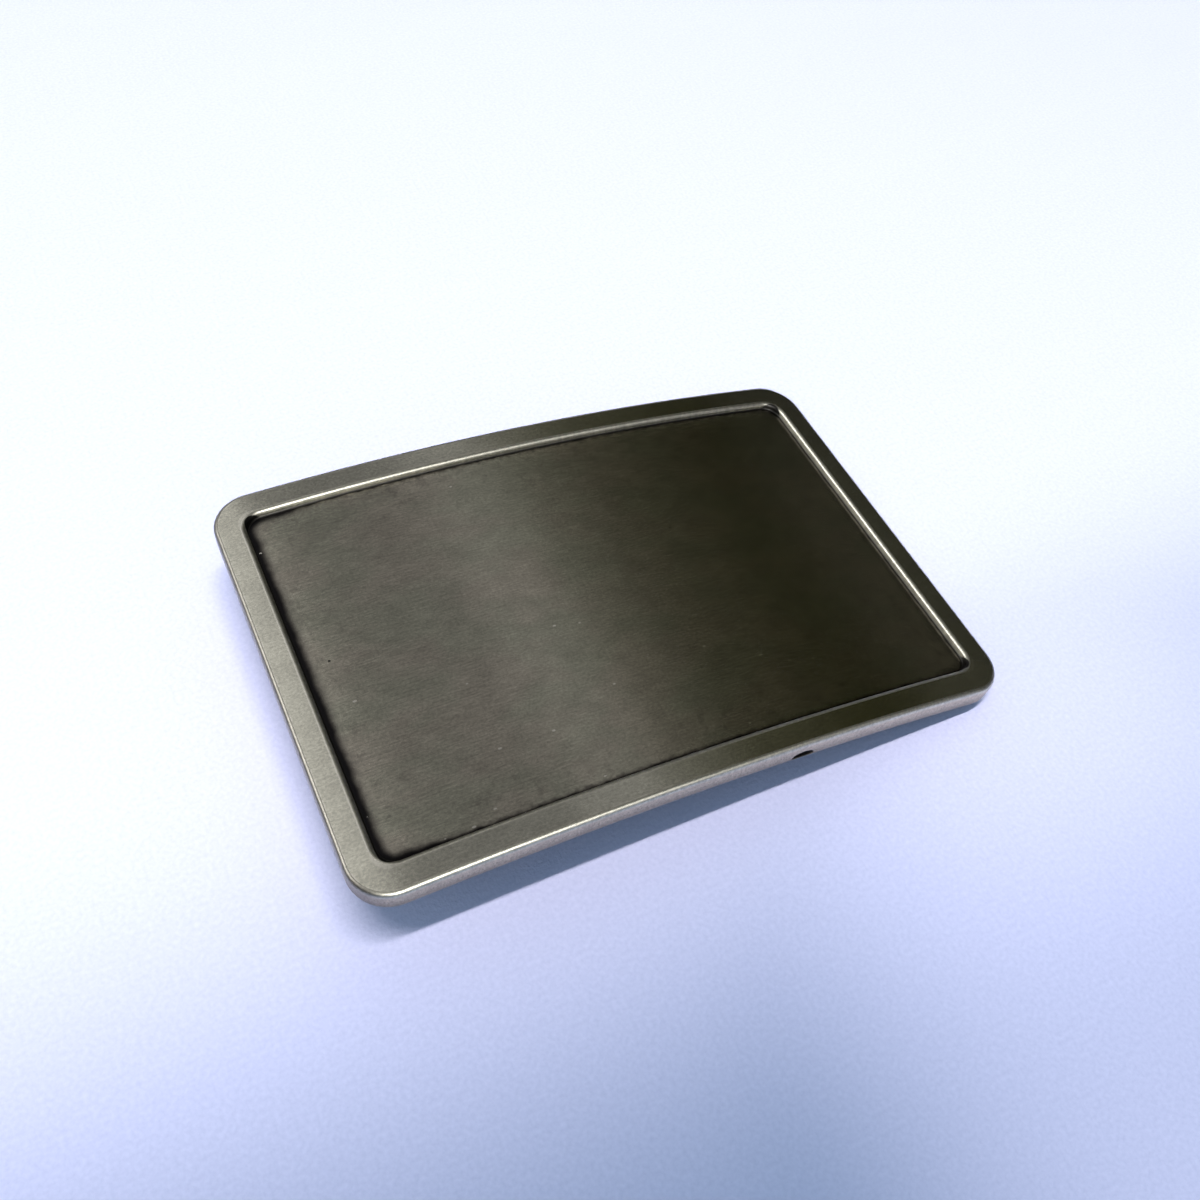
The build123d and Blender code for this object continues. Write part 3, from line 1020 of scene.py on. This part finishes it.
# ---- soft boxes, m ----
BOX_HEIGHT = 1.0
PANEL_Y = (0.2, 1.4)  # where the row of boxes that the panel reflects lies across


def soft_box(name, x_span, y_span, radiance, color=(1.0, 1.0, 1.0), lights_table=True):
    """A level soft box facing the table; its radiance is that seen in a mirror."""
    data = bpy.data.lights.new(name, "AREA")
    data.shape = "RECTANGLE"
    data.size = x_span[1] - x_span[0]
    data.size_y = y_span[1] - y_span[0]
    data.energy = radiance * pi * data.size * data.size_y
    data.color = color
    lamp = bpy.data.objects.new(name, data)
    lamp.location = (sum(x_span) / 2, sum(y_span) / 2, BOX_HEIGHT)
    lamp.visible_diffuse = lights_table
    bpy.context.scene.collection.objects.link(lamp)


# the first two are seen in the metal's rounds and light the metal only
soft_box("key_box", (-0.50, 0.30), (-1.5, -0.7), 13.0, lights_table=False)
soft_box("box_rim", (-1.1, -0.5), (0.3, 1.1), 9.0, lights_table=False)
soft_box("box_bright", (-0.10, 0.03), PANEL_Y, 0.92)
soft_box("box_plain", (0.03, 0.38), PANEL_Y, 0.23)
soft_box("box_band", (0.38, 0.54), PANEL_Y, 0.38)
soft_box("box_fade", (0.54, 0.70), PANEL_Y, 0.17, (1.0, 1.0, 0.86))
soft_box("box_dim", (0.70, 1.00), PANEL_Y, 0.062, (1.0, 1.0, 0.62))
soft_box("box_far", (1.00, 1.40), PANEL_Y, 0.03, (1.0, 1.0, 0.4))
soft_box("box_end", (1.40, 2.00), PANEL_Y, 0.068, (1.0, 1.0, 0.75))
soft_box("box_front", (-1.2, 1.5), (-2.4, -1.5), 0.3)
soft_box("box_left", (-2.4, -1.1), (-0.3, 1.4), 0.3)
soft_box("box_back", (-1.5, 1.5), (1.6, 3.0), 0.12)

# ---- lamps over the table, in metres, watts and degrees ----
LAMP_COLOR = (0.84, 0.79, 1.0)
LAMP_HEIGHT = 1.2
TABLE_LAMPS = 9
TABLE_POWER = 65.0  # of the whole row
TABLE_LIGHT_EDGE = -0.057  # the row lights the table behind this line
ROW_START = -0.40
ROW_LENGTH = 0.60
ROW_Y = -0.11
LAMP_RADIUS = 0.035
HALF_CONE = 80.0
ROW_BLEND = 0.03
POOL_POWER = 26.0
POOL_CENTRE = (0.050, -0.080)
POOL_CONE = 6.2
POOL_BLEND = 1.0


def hidden_spot(name, x, y, power, cone, blend):
    """A lamp above the table, pointing down, that lights it but is not seen in the metal."""
    data = bpy.data.lights.new(name, "SPOT")
    data.energy = power
    data.color = LAMP_COLOR
    data.spot_size = radians(cone)
    data.spot_blend = blend
    lamp = bpy.data.objects.new(name, data)
    lamp.location = (x, y, LAMP_HEIGHT)
    lamp.visible_glossy = False
    bpy.context.scene.collection.objects.link(lamp)
    return lamp


def table_lights():
    """A row of lamps, tipped back so that the fronts of their cones meet the table on one line."""
    reach_back = atan2(TABLE_LIGHT_EDGE - ROW_Y, LAMP_HEIGHT)
    for n in range(TABLE_LAMPS):
        x = ROW_START + ROW_LENGTH * n / (TABLE_LAMPS - 1)
        power = TABLE_POWER / TABLE_LAMPS
        lamp = hidden_spot("table_light", x, ROW_Y, power, 2 * HALF_CONE, ROW_BLEND)
        lamp.data.shadow_soft_size = LAMP_RADIUS
        lamp.rotation_euler = (radians(HALF_CONE) + reach_back, 0.0, 0.0)


table_lights()
# a soft pool of light on the table in front of the bail end
hidden_spot("pool_light", *POOL_CENTRE, POOL_POWER, POOL_CONE, POOL_BLEND)

# ---- the world's colour as a light, and as the camera sees it ----
AMBIENT = (0.205, 0.295, 0.50, 1)
BACKDROP = (0.66, 0.72, 0.84, 1)
world = bpy.data.worlds.new("studio")
world.use_nodes = True
sky = world.node_tree.nodes["Background"]
backdrop = world.node_tree.nodes.new("ShaderNodeMixRGB")
backdrop.inputs["Color1"].default_value = AMBIENT
backdrop.inputs["Color2"].default_value = BACKDROP
rays = world.node_tree.nodes.new("ShaderNodeLightPath")
world.node_tree.links.new(rays.outputs["Is Camera Ray"], backdrop.inputs["Fac"])
world.node_tree.links.new(backdrop.outputs[0], sky.inputs["Color"])
world.cycles_visibility.glossy = False
bpy.context.scene.world = world
bpy.context.scene.view_settings.view_transform = "Standard"

CAMERA_PLACE = Vector((-0.05325, -0.08505, 0.14014))
CAMERA_SIGHT = Vector((0.31198, 0.51544, -0.79812))
CAMERA_ROLL = radians(7.14)
CAMERA_LENS = 38.0
CAMERA_SENSOR = 36.0
NEAREST_SEEN = 0.005


def build_camera():
    """The camera at the photograph's viewing angle, rolled about its line of sight."""
    data = bpy.data.cameras.new("camera")
    data.lens = CAMERA_LENS
    data.sensor_width = CAMERA_SENSOR
    data.clip_start = NEAREST_SEEN
    camera = bpy.data.objects.new("camera", data)
    bpy.context.scene.collection.objects.link(camera)
    sight = CAMERA_SIGHT.normalized()
    level_right = sight.cross(Vector((0, 0, 1))).normalized()
    level_up = level_right.cross(sight)
    right = level_right * cos(CAMERA_ROLL) + level_up * sin(CAMERA_ROLL)
    up = right.cross(sight)
    turn = Matrix((right, up, -sight)).transposed().to_4x4()
    camera.matrix_world = Matrix.Translation(CAMERA_PLACE) @ turn
    bpy.context.scene.camera = camera


build_camera()
